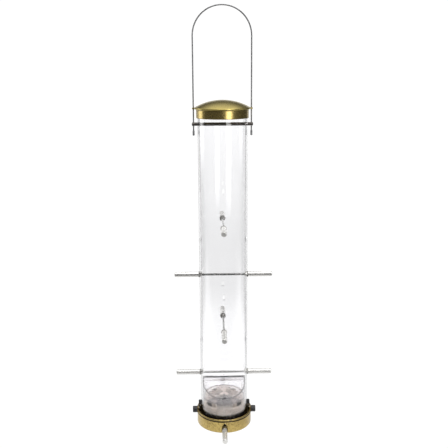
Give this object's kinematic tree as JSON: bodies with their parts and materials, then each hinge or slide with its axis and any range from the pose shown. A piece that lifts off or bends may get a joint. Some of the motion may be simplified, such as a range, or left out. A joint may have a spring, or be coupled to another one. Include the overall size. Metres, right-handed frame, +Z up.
{
  "type": "hanging bird feeder",
  "caption": "Clear tube seed feeder with a domed brass lid on a wire hanger, crossing metal perches and a brass base that pulls off when its side buttons are pressed.",
  "frame": {"origin": "centre of the base ring's underside", "axes": "+Z up along the tube; X across the wire hanger; -Y the front"},
  "size_m": [0.142, 0.142, 0.6096],
  "materials": {
    "clear_tube": "clear, polished, extruded",
    "clear_moulding": "clear, moulded, slightly hazy",
    "antique_brass": "antique brass, lightly brushed and lacquered",
    "hanger_steel": "dull drawn wire",
    "perch_rod": "bright drawn rod",
    "perch_sleeve": "bright nickel plate",
    "black_rubber": "matt black",
    "black_plastic": "satin black moulding",
    "lever_metal": "dark antique brass",
    "spring_steel": "bright spring wire"
  },
  "bodies": {
    "tube_body": {"perch_bushes": "black_rubber", "perch_rod_2": "perch_rod", "perch_rod_3": "perch_rod", "perch_rod_4": "perch_rod", "perch_rod_5": "perch_rod", "perch_sleeve_2_left": "perch_sleeve", "perch_sleeve_2_right": "perch_sleeve", "perch_sleeve_3_back": "perch_sleeve", "perch_sleeve_3_front": "perch_sleeve", "perch_sleeve_4_left": "perch_sleeve", "perch_sleeve_4_right": "perch_sleeve", "perch_sleeve_5_back": "perch_sleeve", "perch_sleeve_5_front": "perch_sleeve", "tube": "clear_tube"},
    "hanger": {"bail_wire": "hanger_steel", "crossbar": "hanger_steel"},
    "lid": {"lid_collar": "antique_brass", "lid_dome": "antique_brass"},
    "base": {"base_insert": "clear_moulding", "base_ring": "antique_brass", "insert_screws": "spring_steel", "lever_pin_left": "spring_steel", "lever_pin_right": "spring_steel", "lever_spring_left": "spring_steel", "lever_spring_right": "spring_steel", "perch_rod_1": "perch_rod", "perch_sleeve_1_back": "perch_sleeve", "perch_sleeve_1_front": "perch_sleeve", "seed_deflector": "clear_moulding"},
    "lever_left_body": {"button_left": "black_plastic", "grip_tip_left": "black_rubber", "lever_left": "lever_metal"},
    "lever_right_body": {"button_right": "black_plastic", "grip_tip_right": "black_rubber", "lever_right": "lever_metal"}
  },
  "joints": [
    {"name": "bail_swing", "type": "hinge", "parent": "tube_body", "child": "hanger", "pos_m": [0, 0, 0.4497], "axis": [1, 0, 0], "range_deg": [-2, 2]},
    {"name": "lid_slide", "type": "slide", "parent": "hanger", "child": "lid", "axis": [0, 0, 1], "range_m": [0, 0.096]},
    {"name": "base_pull_off", "type": "slide", "parent": "tube_body", "child": "base", "axis": [0, 0, -1], "range_m": [0, 0.075]},
    {"name": "lever_press_right", "type": "hinge", "parent": "base", "child": "lever_right_body", "pos_m": [0.038, 0, 0.0243], "axis": [0, 1, 0], "range_deg": [0, 10], "stiffness_Nm_per_rad": 0.08, "springref_deg": -14.32, "deforming": ["lever_spring_right"]},
    {"name": "lever_press_left", "type": "hinge", "parent": "base", "child": "lever_left_body", "pos_m": [-0.038, 0, 0.0243], "axis": [0, -1, 0], "range_deg": [0, 10], "stiffness_Nm_per_rad": 0.08, "springref_deg": -14.32, "deforming": ["lever_spring_left"]}
  ]
}
